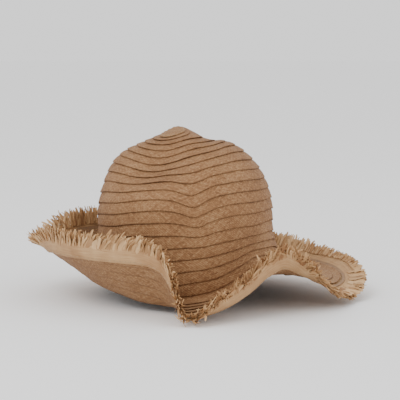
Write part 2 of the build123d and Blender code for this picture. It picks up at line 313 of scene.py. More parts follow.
def makePiece(name, points, faces, uv, material, smooth=True):
    # points in sheet millimetres, one uv pair for each point
    mesh = bpy.data.meshes.new(name)
    places = (points.reshape(-1, 3) + hatPlace) * 0.001
    mesh.from_pydata(places.tolist(), [], faces)
    mesh.polygons.foreach_set("use_smooth", np.full(len(faces), smooth))
    corners = np.zeros(len(mesh.loops), int)
    mesh.loops.foreach_get("vertex_index", corners)
    layer = mesh.uv_layers.new(name="weaveMap")
    layer.data.foreach_set("uv", uv.reshape(-1, 2)[corners].astype(np.float32).ravel())
    mesh.materials.append(material)
    mesh.update()
    piece = bpy.data.objects.new(name, mesh)
    bpy.context.scene.collection.objects.link(piece)
    return piece


def stripFaces(rows, columns):
    # quads of a tube whose sections are rows of a grid, closed at both ends
    r = np.arange(rows - 1)[:, None] * columns
    c = np.arange(columns)[None, :]
    d = (c + 1) % columns
    quads = np.stack([r + c, r + d, r + columns + d, r + columns + c], -1).reshape(-1, 4)
    faces = quads.tolist()
    faces.append(list(range(columns))[::-1])
    faces.append([(rows - 1) * columns + n for n in range(columns)])
    return faces


def slowNoise(distance, seed):
    # a few sines of unrelated lengths, between about -1 and 1
    total = 0.0
    for length, share in ((173.0, 0.35), (71.0, 0.3), (37.0, 0.2), (17.3, 0.15)):
        total = total + share * np.sin(distance * 2 * math.pi / length + seed * length)
    return total


def arcLength(points):
    # running sum of the steps from point to point
    return np.append(0.0, np.cumsum(np.linalg.norm(np.diff(points, axis=0), axis=1)))


def bandPiece(name, azimuth, section, uAlong, material):
    # section gives reach, lift and v for every azimuth and every point round the band
    reach, lift, v = section(azimuth[:, None])
    points = lifted(azimuth[:, None] + 0.0 * reach, reach, lift)
    u = np.broadcast_to(uAlong[:, None], reach.shape)
    uv = np.stack([u, np.broadcast_to(v, reach.shape)], -1) * 0.001
    return makePiece(name, points, stripFaces(*reach.shape), uv, material)


def upperEdge(number, azimuth):
    # a spiral: one pitch further out with every turn
    return braid["firstReach"] + braidPitch * (number + (braid["seam"] - azimuth) / 360.0)


# round the braid's section: place across, 0 at the upper edge, and depth, 0 outside
outerPart = np.array([0.0, 0.08, 0.2, 0.34, 0.48, 0.62, 0.76, 0.88, 0.955, 0.99, 1.0])
innerPart = np.array([0.985, 0.93, 0.8, 0.55, 0.3, 0.08, 0.0])
sectionPart = np.concatenate([outerPart, innerPart])
sectionDepth = np.concatenate([
    [0.3, 0.08, 0.0, 0.0, 0.0, 0.0, 0.0, 0.0, 0.05, 0.22, 0.5],
    [0.82, 1.25, 1.65, 1.5, 1.3, 1.1, 0.7],  # deepest where the lap closes on the next round
])
sectionOuter = np.concatenate([np.ones(len(outerPart)), np.zeros(len(innerPart))])

# direction at the middle, drift with reach, spread, middle reach, its spread, length
rowDroops = [
    (272.5, 0.20, 6.5, 116.0, 40.0, 6.0),
    (246.0, 0.0, 16.0, 92.0, 30.0, -2.5),
    (318.0, 0.0, 20.0, 70.0, 26.0, -2.5),
    (340.0, 0.0, 26.0, 150.0, 45.0, -3.5),
]
rowRipple = {"height": 0.5, "waves": 7.0, "drift": 0.045, "start": 50.0}
droopEnd = {"pastFoot": 20.0, "fade": 60.0}


def drooped(azimuth, reach):
    # rows sag to a soft V at each crease: a ridge in azimuth times a bell curve in reach,
    # plus a slow ripple, all fading out on the brim
    sag = 0.0
    for direction, drift, spread, middle, reachSpread, length in rowDroops:
        away = (azimuth - direction - drift * (reach - middle) + 180.0) % 360.0 - 180.0
        ridge = 1.0 / np.cosh(away / spread)
        sag = sag + length * ridge * np.exp(-(((reach - middle) / reachSpread) ** 2))
    wave = np.sin(np.radians(azimuth) * rowRipple["waves"] + reach * rowRipple["drift"])
    ripple = rowRipple["height"] * wave * ease(reach / rowRipple["start"])
    share = ease((footReach + droopEnd["pastFoot"] - reach) / droopEnd["fade"])
    return reach + (sag + ripple) * share


def braidSection(number, distance):
    # the lapped section, whose outer face swells like half a sine and whose lower edge
    # wanders and stands off with slow noise
    def section(azimuth):
        upper = upperEdge(number, azimuth)
        last = np.minimum(upper + braidWidth, edgeReach)
        along = distance[:, None]
        wander = braid["wobble"] * slowNoise(along + 311.0 * number, 0.4)
        wander = wander + braid["scallop"] * np.sin(along * 2 * math.pi / braid["plait"])
        loose, gaping, hidden = braid["looseShare"], braid["gapeShare"], braid["hiddenShare"]
        edgeShare = np.clip((sectionPart - loose) * 2.0, 0.0, 1.0) ** 2
        reach = upper + (last - upper) * sectionPart + wander * edgeShare
        lift = lapSlope * (reach - upper - braidWidth)
        gape = np.maximum(slowNoise(along + 97.0 * number, 1.7) + braid["gapeBias"], 0.0)
        gape = braid["gape"] * gape
        lift = lift + gape * np.clip((sectionPart - gaping) / 0.2, 0.0, 1.0)
        visible = np.clip((sectionPart - hidden) / 0.8, 0.0, 1.0)
        lift = lift + braid["puff"] * sectionOuter * np.sin(math.pi * visible)
        lift = lift - braid["thickness"] * sectionDepth
        return drooped(azimuth, reach), lift, reach - upper
    return section


def braidRound(number, startLength, name, material):
    # one turn of the spiral, cut into equal steps along its length
    coarse = braid["seam"] - np.linspace(0.0, 360.0, 361)
    middle = np.minimum(upperEdge(number, coarse) + braid["middle"], edgeReach)
    length = arcLength(sheet(coarse, middle))
    count = int(length[-1] / braid["step"]) + braid["fewestSteps"]
    distance = np.linspace(0.0, length[-1], count + 1)
    azimuth = np.interp(distance, length, coarse)
    distance = distance + startLength
    piece = bandPiece(name, azimuth, braidSection(number, distance), distance, material)
    return piece, startLength + length[-1]


# node groups shared by the materials


def newGroup(name, inputs, outputs):
    group = bpy.data.node_groups.new(name, "ShaderNodeTree")
    for label, kind, value in inputs:
        socket = group.interface.new_socket(label, in_out="INPUT", socket_type=kind)
        if value is not None:
            socket.default_value = value
    for label, kind in outputs:
        group.interface.new_socket(label, in_out="OUTPUT", socket_type=kind)
    return group, group.nodes.new("NodeGroupInput"), group.nodes.new("NodeGroupOutput")


def feed(tree, socket, value):
    if isinstance(value, bpy.types.NodeSocket):
        tree.links.new(value, socket)
    else:
        socket.default_value = value


def math2(tree, operation, first, second=0.0, third=None):
    node = tree.nodes.new("ShaderNodeMath")
    node.operation = operation
    feed(tree, node.inputs[0], first)
    feed(tree, node.inputs[1], second)
    if third is not None:
        feed(tree, node.inputs[2], third)
    return node.outputs[0]


def noise(tree, place, scale, detail=2.0, roughness=0.5):
    node = tree.nodes.new("ShaderNodeTexNoise")
    tree.links.new(place, node.inputs["Vector"])
    node.inputs["Scale"].default_value = scale
    node.inputs["Detail"].default_value = detail
    node.inputs["Roughness"].default_value = roughness
    return node.outputs["Fac"]


def stretched(tree, place, scale):
    # a place times a scale in each direction, for grain
    node = tree.nodes.new("ShaderNodeVectorMath")
    node.operation = "MULTIPLY"
    tree.links.new(place, node.inputs[0])
    node.inputs[1].default_value = scale
    return node.outputs[0]


def ramp(tree, value, stops):
    node = tree.nodes.new("ShaderNodeValToRGB")
    points = node.color_ramp.elements
    while len(points) < len(stops):
        points.new(0.5)
    for point, (place, colour) in zip(points, stops):
        point.position = place
        point.color = (*colour, 1.0)
    tree.links.new(value, node.inputs[0])
    return node.outputs[0]


def blendColour(tree, share, first, second):
    node = tree.nodes.new("ShaderNodeMix")
    node.data_type = "RGBA"
    feed(tree, node.inputs[0], share)
    feed(tree, node.inputs[6], first)
    feed(tree, node.inputs[7], second)
    return node.outputs[2]


def splitMap(tree, place):
    # along and across the piece
    node = tree.nodes.new("ShaderNodeSeparateXYZ")
    tree.links.new(place, node.inputs[0])
    return node.outputs[0], node.outputs[1]


def scattered(tree, cell):
    # a random value for each whole number
    node = tree.nodes.new("ShaderNodeTexWhiteNoise")
    node.noise_dimensions = "1D"
    tree.links.new(cell, node.inputs["W"])
    return node.outputs["Value"]


def plaitGroup():
    # two families of slanting strands that pass over and under each other
    group, start, end = newGroup(
        "plaitedStraw",
        [("Map", "NodeSocketVector", None), ("Strand", "NodeSocketFloat", 0.002)],
        [("Height", "NodeSocketFloat"), ("Tone", "NodeSocketFloat")],
    )
    along, across = splitMap(group, start.outputs["Map"])
    strand = start.outputs["Strand"]
    places = []
    for sign in ("ADD", "SUBTRACT"):
        slant = math2(group, sign, math2(group, "MULTIPLY", along, 0.8), across)
        slant = math2(group, "DIVIDE", slant, strand)
        cell = math2(group, "FLOOR", slant)
        swell = math2(group, "MULTIPLY", math2(group, "FRACT", slant), math.pi)
        swell = math2(group, "SINE", swell)
        places.append((cell, math2(group, "POWER", swell, 0.6)))
    (cellA, swellA), (cellB, swellB) = places
    turn = math2(group, "FLOORED_MODULO", math2(group, "ADD", cellA, cellB), 2.0)
    other = math2(group, "SUBTRACT", 1.0, turn)
    swellOver = math2(group, "ADD", math2(group, "MULTIPLY", turn, swellA),
                      math2(group, "MULTIPLY", other, swellB))
    swellUnder = math2(group, "MULTIPLY", swellA, swellB)
    height = math2(group, "ADD", math2(group, "MULTIPLY", swellOver, 0.6),
                   math2(group, "MULTIPLY", swellUnder, 0.4))
    cellB = math2(group, "ADD", cellB, 71.0)  # so the two families' tones differ
    cell = math2(group, "ADD", math2(group, "MULTIPLY", turn, cellA),
                 math2(group, "MULTIPLY", other, cellB))
    group.links.new(height, end.inputs["Height"])
    group.links.new(scattered(group, cell), end.inputs["Tone"])
    return group


def fibreGroup():
    # dry fibres drawn out along the braid, and slow patches over the whole hat
    group, start, end = newGroup(
        "dryFibre",
        [("Map", "NodeSocketVector", None), ("Place", "NodeSocketVector", None)],
        [("Fibre", "NodeSocketFloat"), ("Patch", "NodeSocketFloat"), ("Fleck", "NodeSocketFloat")],
    )
    drawn = stretched(group, start.outputs["Map"], (90.0, 1500.0, 1.0))
    fibre = noise(group, drawn, 1.0, 3.0, 0.6)
    patch = noise(group, start.outputs["Place"], 26.0, 3.0, 0.55)
    crumbs = stretched(group, start.outputs["Map"], (330.0, 420.0, 1.0))
    fleck = noise(group, crumbs, 1.0, 2.0, 0.6)
    group.links.new(fibre, end.inputs["Fibre"])
    group.links.new(patch, end.inputs["Patch"])
    group.links.new(fleck, end.inputs["Fleck"])
    return group


plaitedStraw = plaitGroup()
dryFibre = fibreGroup()


def placeGroup(tree, group, values):
    node = tree.nodes.new("ShaderNodeGroup")
    node.node_tree = group
    for label, value in values.items():
        feed(tree, node.inputs[label], value)
    return node


def newMaterial(name):
    material = bpy.data.materials.new(name)
    material.use_nodes = True
    tree = material.node_tree
    return material, tree, tree.nodes["Principled BSDF"]


def weaveMap(tree):
    node = tree.nodes.new("ShaderNodeUVMap")
    node.uv_map = "weaveMap"
    return node.outputs[0]


def objectPlace(tree):
    return tree.nodes.new("ShaderNodeTexCoord").outputs["Object"]


def addBump(tree, shader, height, strength, distance):
    bump = tree.nodes.new("ShaderNodeBump")
    bump.inputs["Strength"].default_value = strength
    bump.inputs["Distance"].default_value = distance
    tree.links.new(height, bump.inputs["Height"])
    tree.links.new(bump.outputs[0], shader.inputs["Normal"])


def strawMaterial(name, look):
    # plaited paper straw: slanting strands, fibres along them, patches of tone, and
    #  painted shade in the plait's hollows and along the braid's edges
    material, tree, shader = newMaterial(name)
    uv = weaveMap(tree)
    plait = placeGroup(tree, plaitedStraw, {"Map": uv, "Strand": look["strand"]})
    fibre = placeGroup(tree, dryFibre, {"Map": uv, "Place": objectPlace(tree)})
    tone = math2(tree, "MULTIPLY", fibre.outputs["Patch"], look["patchShare"])
    tone = math2(tree, "MULTIPLY_ADD", fibre.outputs["Fibre"], look["fibreShare"], tone)
    tone = math2(tree, "MULTIPLY_ADD", plait.outputs["Tone"], look["strandShare"], tone)
    tone = math2(tree, "MULTIPLY_ADD", fibre.outputs["Fleck"], look["fleckShare"], tone)
    colour = ramp(tree, tone, look["colours"])
    # painted shade: the colour darkens where the plait's strands dip, for shade in the weave's
    # hollows
    paintedShade = math2(tree, "SUBTRACT", 1.0, plait.outputs["Height"])
    paintedShade = math2(tree, "MULTIPLY", paintedShade, look["paintedShade"])
    # painted shade: a dark line along both edges of each round, for the shadow where the rounds
    # lap
    across = splitMap(tree, uv)[1]
    margin = math2(tree, "SUBTRACT", braidWidth * 0.001, across)
    margin = math2(tree, "MINIMUM", across, margin)
    paintedEdgeShade = math2(tree, "SUBTRACT", 1.0, math2(tree, "DIVIDE", margin, look["edgeWidth"]))
    paintedEdgeShade = math2(tree, "MULTIPLY", math2(tree, "MAXIMUM", paintedEdgeShade, 0.0), look["edgeShade"])
    paintedShade = math2(tree, "MAXIMUM", paintedShade, paintedEdgeShade)
    colour = blendColour(tree, paintedShade, colour, (*look["paintedShadeColour"], 1.0))
    tree.links.new(colour, shader.inputs["Base Color"])
    height = math2(tree, "MULTIPLY_ADD", fibre.outputs["Fibre"], look["fibreHeight"],
                   plait.outputs["Height"])
    addBump(tree, shader, height, look["bump"], 0.0004)
    gloss = math2(tree, "MULTIPLY_ADD", fibre.outputs["Fleck"], look["glossSpread"],
                  look["roughness"])
    tree.links.new(gloss, shader.inputs["Roughness"])
    shader.inputs["Specular IOR Level"].default_value = 0.3
    return material


crownStrawLook = {
    "strand": 0.0021,
    "patchShare": 0.30, "fibreShare": 0.30, "strandShare": 0.14, "fleckShare": 0.52,
    "colours": [
        (0.42, (0.165, 0.072, 0.028)),
        (0.60, (0.285, 0.140, 0.058)),
        (0.80, (0.440, 0.250, 0.118)),
    ],
    # painted shade: strength and colour of the darkening in the weave's hollows and at the braid's
    # edges
    "paintedShade": 0.45, "paintedShadeColour": (0.12, 0.052, 0.020),
    "fibreHeight": 0.45, "bump": 0.8,
    "roughness": 0.66, "glossSpread": 0.2,
    "edgeWidth": 0.0013, "edgeShade": 0.75,
}
brimStrawLook = dict(crownStrawLook, colours=[
    (0.42, (0.185, 0.084, 0.035)),
    (0.60, (0.305, 0.158, 0.070)),
    (0.80, (0.440, 0.262, 0.130)),
])
# painted light: the disc's paler colours stand in for light falling on the top of the hat
topLitDiscStrawLook = dict(crownStrawLook, edgeShade=0.0, strand=0.0016, colours=[
    (0.42, (0.215, 0.105, 0.045)),
    (0.60, (0.350, 0.190, 0.085)),
    (0.80, (0.480, 0.290, 0.145)),
])


def raffiaMaterial(name, look):
    # dry raffia: lengthwise fibres, and each strand its own tone, paler at its tip
    material, tree, shader = newMaterial(name)
    uv = weaveMap(tree)
    fibre = noise(tree, stretched(tree, uv, look["grain"]), 1.0, 3.0, 0.6)
    patch = noise(tree, objectPlace(tree), 45.0, 2.0, 0.5)
    sideways, outwards = splitMap(tree, uv)
    strand = math2(tree, "FLOOR", math2(tree, "MULTIPLY", sideways, look["strandCells"]))
    tone = math2(tree, "MULTIPLY", fibre, look["fibreShare"])
    tone = math2(tree, "MULTIPLY_ADD", patch, look["patchShare"], tone)
    tone = math2(tree, "MULTIPLY_ADD", scattered(tree, strand), look["strandShare"], tone)
    tone = math2(tree, "MULTIPLY_ADD", outwards, look["tipShare"], tone)
    tree.links.new(ramp(tree, tone, look["colours"]), shader.inputs["Base Color"])
    addBump(tree, shader, fibre, look["bump"], 0.0003)
    gloss = math2(tree, "MULTIPLY_ADD", fibre, 0.25, look["roughness"])
    tree.links.new(gloss, shader.inputs["Roughness"])
    shader.inputs["Specular IOR Level"].default_value = 0.35
    return material


strandCells = 500.0  # one cell of the map for each strand, in a metre
headerLook = {
    "grain": (40.0, 2200.0, 1.0), "strandCells": 0.0,
    "fibreShare": 0.6, "patchShare": 0.45, "strandShare": 0.0, "tipShare": 0.0,
    "colours": [
        (0.28, (0.235, 0.112, 0.044)),
        (0.48, (0.400, 0.222, 0.098)),
        (0.72, (0.560, 0.360, 0.180)),
    ],
    "bump": 0.5, "roughness": 0.6,
}
fringeLook = {
    "grain": (1600.0, 60.0, 1.0), "strandCells": strandCells,
    "fibreShare": 0.25, "patchShare": 0.25, "strandShare": 0.3, "tipShare": 6.0,
    # painted light: these colours are lifted above the header's to offset the shade among the
    # strands
    "colours": [
        (0.24, (0.260, 0.120, 0.046)),
        (0.42, (0.470, 0.270, 0.120)),
        (0.64, (0.680, 0.450, 0.235)),
    ],
    "bump": 0.4, "roughness": 0.6,
}

tapeLook = {
    "light": (0.42, 0.30, 0.19, 1.0),
    "dark": (0.28, 0.19, 0.11, 1.0),
    "rib": 1100.0,  # ribs in a metre
}


def tapeMaterial(look):
    # cotton tape with ribs across it, painted darker in the troughs and lighter on the crests as
    # shade
    material, tree, shader = newMaterial("ribbedTape")
    uv = weaveMap(tree)
    along = splitMap(tree, uv)[0]
    rib = math2(tree, "SINE", math2(tree, "MULTIPLY", along, look["rib"] * 2 * math.pi))
    rib = math2(tree, "MULTIPLY_ADD", rib, 0.5, 0.5)
    soft = noise(tree, uv, 300.0, 3.0, 0.6)
    share = math2(tree, "MULTIPLY", rib, soft)
    # painted shade: the colour follows the rib height, dark in the troughs and light on the crests
    colour = blendColour(tree, share, look["dark"], look["light"])
    tree.links.new(colour, shader.inputs["Base Color"])
    addBump(tree, shader, rib, 0.5, 0.0003)
    shader.inputs["Roughness"].default_value = 0.85
    return material


def threadMaterial():
    # twisted sewing thread, straw coloured
    material, tree, shader = newMaterial("twistedThread")
    twist = noise(tree, objectPlace(tree), 900.0, 2.0, 0.6)
    colour = ramp(tree, twist, [(0.3, (0.30, 0.18, 0.09)), (0.7, (0.52, 0.36, 0.21))])
    tree.links.new(colour, shader.inputs["Base Color"])
    addBump(tree, shader, twist, 0.4, 0.0002)
    shader.inputs["Roughness"].default_value = 0.6
    return material


def nylonMaterial(name, colour, roughness, clear):
    # drawn nylon with faint scuffs
    material, tree, shader = newMaterial(name)
    scuff = noise(tree, objectPlace(tree), 160.0, 4.0, 0.65)
    darker = tuple(v * 0.75 for v in colour)
    colour = ramp(tree, scuff, [(0.35, darker), (0.65, colour)])
    tree.links.new(colour, shader.inputs["Base Color"])
    gloss = math2(tree, "MULTIPLY_ADD", scuff, 0.3, roughness)
    tree.links.new(gloss, shader.inputs["Roughness"])
    addBump(tree, shader, scuff, 0.15, 0.0002)
    shader.inputs["Coat Weight"].default_value = clear
    return material


crownStraw = strawMaterial("crownStraw", crownStrawLook)
brimStraw = strawMaterial("brimStraw", brimStrawLook)
topLitDiscStraw = strawMaterial("topLitDiscStraw", topLitDiscStrawLook)
raffiaHeader = raffiaMaterial("raffiaHeader", headerLook)
raffiaFringe = raffiaMaterial("raffiaFringe", fringeLook)
ribbedTape = tapeMaterial(tapeLook)
twistedThread = threadMaterial()
print("materials made")

# the braid's rounds

braidLength = 0.0
for number in range(braidRounds):
    inCrown = number < braid["crownRounds"]
    place = number + 1 if inCrown else number + 1 - braid["crownRounds"]
    part = "crown" if inCrown else "brim"
    material = crownStraw if inCrown else brimStraw
    piece, braidLength = braidRound(number, braidLength, f"{part}Round{place:02d}", material)
    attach(piece, "root")
    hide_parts(f"{part}_braid_{place:02d}")
print("braid sewn,", round(braidLength / 1000, 2), "m long")

# crown tip disc

tipDisc = {
    "radius": 13.0,
    "thickness": 0.9,
    "rest": 0.25,  # from the sheet to its underside
    "crown": 0.55,  # how far its middle swells
    "rings": 12,
    "spokes": 90,
    "edge": [(0.975, 0.04), (1.0, 0.15), (1.015, 0.32), (1.02, 0.6), (1.01, 0.8)],
    "under": [0.96, 0.6, 0.2],  # rings of the underside
    "fray": 0.012,
    "frayWaves": 9.0,
    "aimReach": 6.0,  # its plane is the mean one at this reach
}


def tipDiscPiece():
    # polar grid: out over the domed top, round the rim and back below
    shape = tipDisc
    over = np.linspace(0.0, 1.0, shape["rings"])[1:-1]
    edge, drop = np.array(shape["edge"]).T
    part = np.concatenate([over, edge, shape["under"]])
    top = shape["rest"] + shape["thickness"]
    swell = top + shape["crown"] * (1.0 - over**2)
    flat = np.full(len(shape["under"]), shape["rest"])
    rise = np.concatenate([swell, top - drop, flat])
    azimuth = np.linspace(0.0, 360.0, shape["spokes"], endpoint=False)[:, None]
    turn = np.radians(azimuth)
    normal = unit(sheetNormal(azimuth[:, 0], shape["aimReach"]).mean(0))
    frayed = 1.0 + shape["fray"] * np.sin(turn * shape["frayWaves"]) * (part > 0.9)
    reach = shape["radius"] * part * frayed
    points = sheet(azimuth, reach) + normal * rise[None, :, None]
    pole = sheet(0.0, 0.01)
    poles = [pole + normal * (top + shape["crown"]), pole + normal * shape["rest"]]
    points = np.concatenate([points.reshape(-1, 3), poles])
    count = len(part)
    spoke = np.arange(shape["spokes"])[:, None] * count
    after = np.roll(spoke, -1, 0)
    ring = np.arange(count - 1)[None, :]
    quads = np.stack([spoke + ring, spoke + ring + 1, after + ring + 1, after + ring], -1)
    spoke, after = spoke[:, 0], after[:, 0]
    topPole = np.full_like(spoke, len(points) - 2)
    topCap = np.stack([topPole, spoke, after], -1)
    underCap = np.stack([topPole + 1, after + count - 1, spoke + count - 1], -1)
    faces = quads.reshape(-1, 4).tolist() + topCap.tolist() + underCap.tolist()
    uv = np.stack([reach * np.cos(turn), reach * np.sin(turn)], -1) * 0.001
    uv = np.concatenate([uv.reshape(-1, 2), np.zeros((2, 2))])
    return makePiece("tipDisc", points, faces, uv, topLitDiscStraw)


disc = tipDiscPiece()
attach(disc, "root")
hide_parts("crown_tip_disc")

# flat bands: the edging's header and the sweatband


flatBands = {
    "step": 1.8,  # length of one facet along a band
    "measured": 8.0,  # from a band's start to where its length is measured
    "edgeSlope": 9.0,  # how soon a band reaches its full thickness
    "edgeShare": 0.35,  # thickness left at its edges
    "ridgeLength": 2.4,
    "lapRun": 3.0,  # length over which an end sinks under the other
    "lapGap": 0.12,
}


def flatBand(name, start, end, outerLift, thickness, material, points=14, overlap=0.0,
             ripple=0.0, ridge=0.0):
    # a thin band round the hat: its faces are a sine of the way across, for the ridges,
    # and its outer edge lifts with slow noise
    shape = flatBands
    coarse = braid["seam"] - np.linspace(0.0, 360.0 + overlap, 361)
    length = arcLength(sheet(coarse, start + shape["measured"]))
    distance = np.linspace(0.0, length[-1], int(length[-1] / shape["step"]) + 1)
    azimuth = np.interp(distance, length, coarse)
    part = np.linspace(0.0, 1.0, points)
    across = np.concatenate([part, part[::-1]])
    side = np.concatenate([np.ones(points), -np.ones(points)])
    inwards = np.minimum(across, 1.0 - across)
    soft = np.minimum(1.0, inwards * shape["edgeSlope"] + shape["edgeShare"])
    lapStart = length[-1] * 360.0 / (360.0 + overlap)

    def section(turn):
        along = distance[:, None]
        wave = ripple * slowNoise(along + 40.0, 2.3) * across**2
        last = end(turn) if callable(end) else end
        reach = start + (last - start) * across + 0.0 * turn
        lift = outerLift - thickness * 0.5 + side * thickness * 0.5 * soft
        lift = lift + side * ridge * np.sin((reach - start) * 2 * math.pi / shape["ridgeLength"])
        lapped = ease((along - lapStart) / shape["lapRun"] + 1.0)
        lift = lift + wave - (thickness + shape["lapGap"]) * lapped * (overlap > 0)
        return reach, lift, reach - start
    return bandPiece(name, azimuth, section, distance, material)


tape = {
    "start": footReach - 35.0,
    "end": footReach - 5.0,
    "thickness": 1.0,
}
sweatband = flatBand("sweatbandTape", tape["start"], tape["end"], underLift, tape["thickness"],
                     ribbedTape, points=12)
turns = np.linspace(0.0, 360.0, 361)
middle = (tape["start"] + tape["end"]) / 2
sweatbandLength = arcLength(lifted(turns, middle, underLift))[-1]
print("sweatband", round(float(sweatbandLength)), "mm long before sewing")
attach(sweatband, "root")
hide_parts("sweatband")
print("bands made")

# the fringe

# direction, where strands leave the header, length, side lean, scatter, curl, width,
# waviness, tone
fringeKeys = np.array([
    (0, 16.5, 8.0, 0.0, 1.2, 0.5, 4.6, 0.3, 0.0),
    (14, 15.0, 8.0, 0.6, 1.2, 0.6, 3.4, 0.3, 0.0),
    (32, 11.0, 11.0, 0.5, 1.5, 0.8, 2.4, 0.4, 0.0),
    (60, 7.0, 14.0, 0.0, 2.0, 1.2, 2.1, 0.6, 0.0),
    (120, 7.0, 15.0, 1.0, 3.0, 1.5, 2.1, 0.8, 0.0),
    (165, 7.0, 15.5, 1.0, 3.2, 1.5, 2.1, 0.8, 0.0),
    (185, 7.0, 14.5, -1.0, 2.2, 1.5, 2.4, 0.8, 0.0),
    (210, 7.5, 13.5, 4.5, 1.6, 2.5, 2.6, 0.7, 0.0),
    (235, 7.5, 13.5, 6.5, 1.6, 3.0, 2.7, 0.7, 0.0),
    (255, 7.5, 13.5, 6.5, 2.0, 3.0, 2.6, 0.8, 0.0),
    (268, 6.5, 13.0, 3.0, 3.0, 2.6, 2.3, 1.0, -4.0),
    (278, 7.0, 13.0, -2.0, 4.5, 4.0, 2.0, 1.8, -14.0),
    (300, 8.0, 12.5, -3.0, 5.0, 5.0, 2.0, 2.2, -18.0),
    (314, 8.0, 13.0, 0.0, 4.5, 4.0, 2.0, 2.0, -12.0),
    (325, 9.0, 13.0, 1.0, 3.5, 2.0, 2.6, 1.2, -4.0),
    (342, 13.0, 11.0, 0.0, 2.5, 1.5, 4.6, 0.8, 0.0),
    (352, 16.0, 8.5, 0.0, 1.8, 0.8, 5.2, 0.4, 0.0),
], float)

fringe = {
    "spacing": 1.45,
    "thickness": 0.5,
    "segments": 6,
    "swayWaves": 5.2,
    "swayPower": 1.6,
    "liftWaves": 4.1,
    "liftShare": 0.3,  # waviness up and down against sideways
    "leanLoss": 0.6,  # how much reach a side lean costs
    "resting": 0.6,  # the lowest strands rest on the ground
    "layers": [
        # name, seed, base lift, spread of lift, length factor, curl factor
        ("fringeOuter", 11, underLift - 0.75, 0.5, 1.0, 1.0),
        ("fringeMiddle", 23, underLift - 0.1, 0.7, 1.08, 0.3),
        ("fringeInner", 37, underLift + 0.7, 0.7, 0.92, -0.9),
    ],
}


def fringeValues(azimuth):
    # each column of the keys, in straight lines from one direction to the next
    places = np.append(fringeKeys[:, 0], 360.0)
    columns = np.append(fringeKeys[:, 1:], fringeKeys[:1, 1:], 0).T
    return [np.interp(azimuth % 360.0, places, column) for column in columns]


def headerEnd(azimuth):
    # the header runs just past where the strands leave it
    return edgeReach + fringeValues(azimuth)[0] + 1.0


header = flatBand("edgingHeader", edgeReach - edging["lap"], headerEnd, underLift,
                  edging["thickness"], raffiaHeader, overlap=edging["overlap"],
                  ripple=edging["ripple"], ridge=edging["ridge"])
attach(header, "root")
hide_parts("frayed_edging")


def strandPiece(name, strands):
    # a strand runs outwards from the header; its side lean and curl grow with a power of
    # the way along it, and its section is a flat lozenge that narrows to the tip
    shape = fringe
    (azimuth, start, length, lift, lean, curl,
     width, thickness, wave, twist, phase, tone) = np.stack(strands)[:, :, None]
    t = np.linspace(0.0, 1.0, shape["segments"] + 1)[None, :]
    edge = edgeReach + 7.0
    perDegree = np.linalg.norm(sheet(azimuth + 0.5, edge) - sheet(azimuth - 0.5, edge), axis=-1)
    sway = wave * np.sin(t * shape["swayWaves"] + phase * 6.28) * t
    sway = lean * t ** shape["swayPower"] + sway
    slant = (np.abs(lean) / np.maximum(length, 1.0)) ** 2
    reach = start + length * t * np.sqrt(np.maximum(1.0 - slant * shape["leanLoss"], 0.3))
    rise = shape["liftShare"] * wave * np.sin(t * shape["liftWaves"] + phase * 9.0) * t
    rise = lift + curl * t**2 + rise
    path = lifted(azimuth + sway / perDegree, reach, rise)
    path[..., 2] = np.maximum(path[..., 2], shape["resting"] - hatPlace[2])
    forward = unit(np.gradient(path, axis=1))
    normal = sheetNormal(azimuth + 0.0 * reach, reach)
    side = unit(np.cross(forward, normal))
    normal = np.cross(side, forward)
    angle = (twist * t)[..., None]
    flat = side * np.cos(angle) + normal * np.sin(angle)
    upright = normal * np.cos(angle) - side * np.sin(angle)
    flat = flat * (width * (0.8 + 0.5 * t - 0.85 * t**4) * 0.5)[..., None]
    upright = upright * (thickness * (1.0 - 0.5 * t**2) * 0.5)[..., None]
    ring = np.stack([path + flat, path + upright, path - flat, path - upright], 2)
    count, rows, corners = ring.shape[:3]
    single = np.array(stripFaces(rows, corners))
    first = np.arange(count)[:, None, None] * rows * corners
    faces = (single[None] + first).reshape(-1, corners).tolist()
    across = np.array([-0.3, 0.0, 0.3, 0.0]) * 0.001
    u = (np.arange(count)[:, None, None] + 0.5) / strandCells + across
    v = (t * length + tone)[..., None] * 0.001
    uv = np.stack(np.broadcast_arrays(u, v), -1)
    return makePiece(name, ring, faces, uv, raffiaFringe, smooth=False)


def strandAzimuths(spacing, random):
    # even along the brim's edge, with a little scatter
    coarse = np.linspace(0.0, 360.0, 721)
    length = arcLength(sheet(coarse, edgeReach + 10.0))
    count = int(length[-1] / spacing)
    places = (np.arange(count) + random.uniform(-0.45, 0.45, count)) * length[-1] / count
    return np.interp(places % length[-1], length, coarse)


strandScatter = {
    "start": 0.5,
    "length": 0.13,
    "tuftLength": 0.06,
    "lift": 0.4,
    "lean": 0.65,
    "tuftLean": 0.8,
    "curl": 0.6,
    "width": 0.28,
    "twist": 0.55,
    "wave": 0.4,
}


